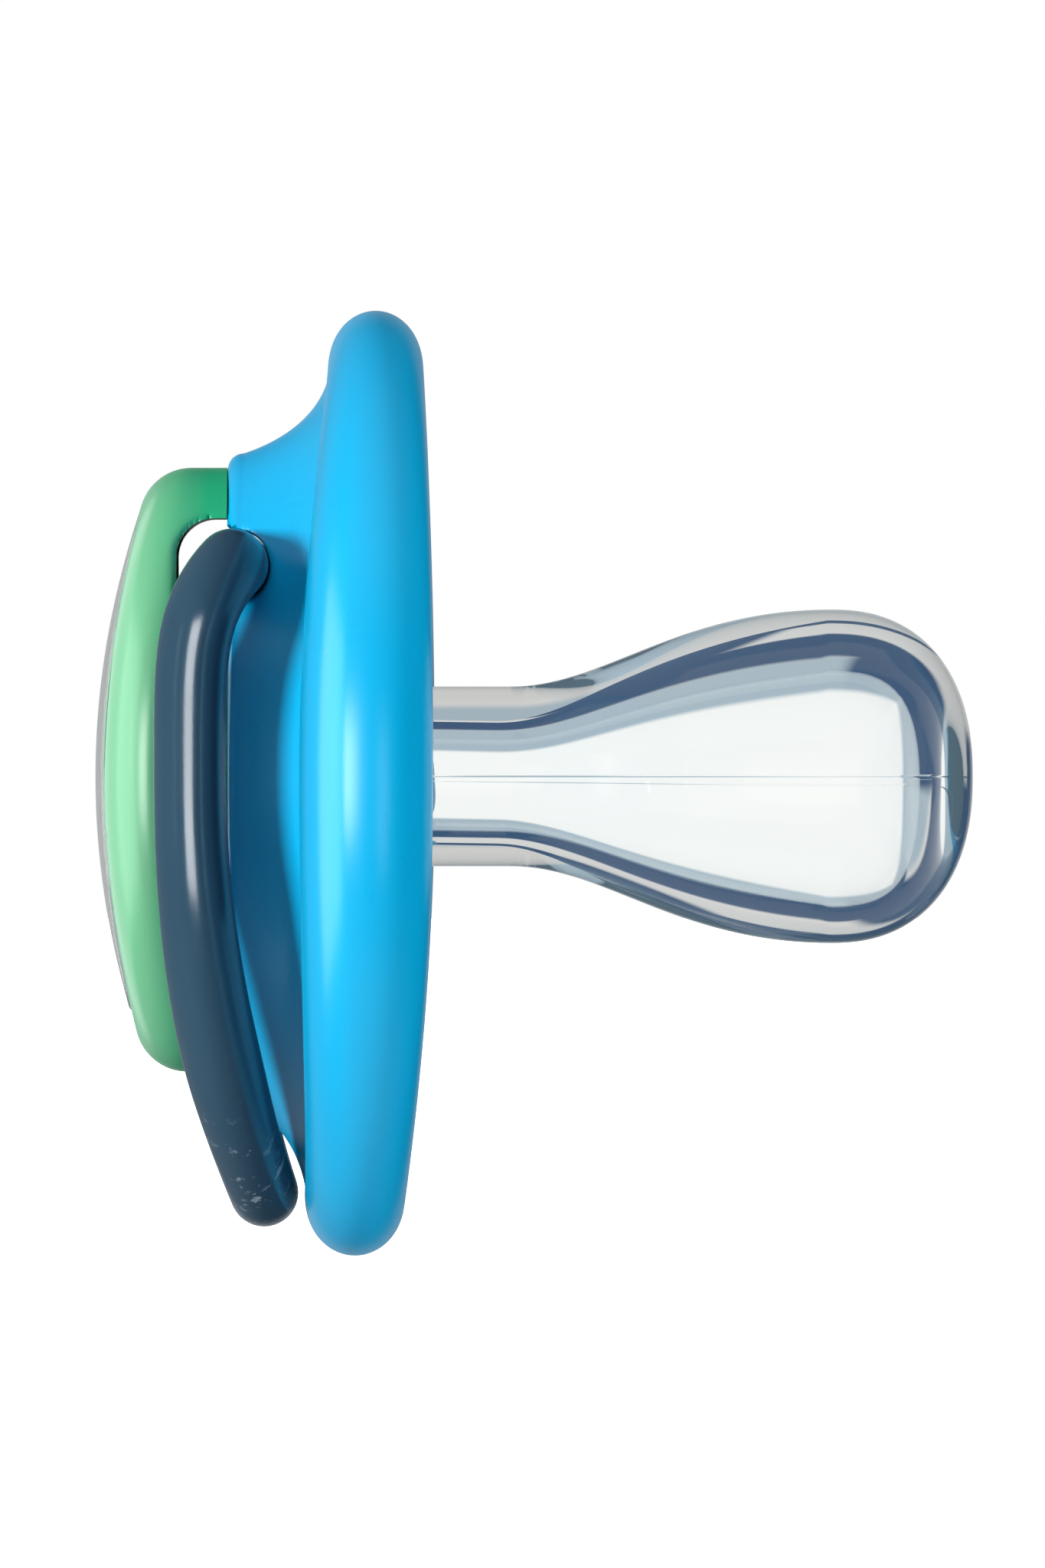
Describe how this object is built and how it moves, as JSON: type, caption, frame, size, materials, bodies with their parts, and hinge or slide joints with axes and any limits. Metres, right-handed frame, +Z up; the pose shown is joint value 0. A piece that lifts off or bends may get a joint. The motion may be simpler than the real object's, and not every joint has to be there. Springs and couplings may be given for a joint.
{
  "type": "pacifier",
  "caption": "Soother with a hollow clear teat, a dished round shield with air holes, a domed knob with a clear window, and a ring handle that swings on the knob.",
  "frame": {"origin": "middle of the bottom of the bounding box, with the soother upright and its teat level", "axes": "+X along the teat towards its tip, +Z up, away from where the ring hangs; the hinge bar lies along Y"},
  "size_m": [0.0436, 0.053, 0.047],
  "materials": {
    "shield": "sky-blue moulded polypropylene, satin gloss",
    "teat": "clear liquid silicone rubber, glossy",
    "plug": "natural white moulded polypropylene",
    "knob": "mint-green moulded polypropylene, satin gloss",
    "print": null,
    "window": "clear moulded copolyester, glossy",
    "ring": "slate-navy moulded polypropylene, satin gloss, lightly scuffed"
  },
  "bodies": {
    "soother": {"shield": "shield", "teat": "teat", "teat_plug": "plug", "knob": "knob", "print_disc": "print", "knob_window": "window"},
    "ring": {"ring_handle": "ring"}
  },
  "joints": [
    {"name": "ring_swing", "type": "hinge", "parent": "soother", "child": "ring", "pos_m": [-0.01496, 0, 0.03431], "axis": [0, 1, 0], "range_deg": [0, 180]}
  ]
}
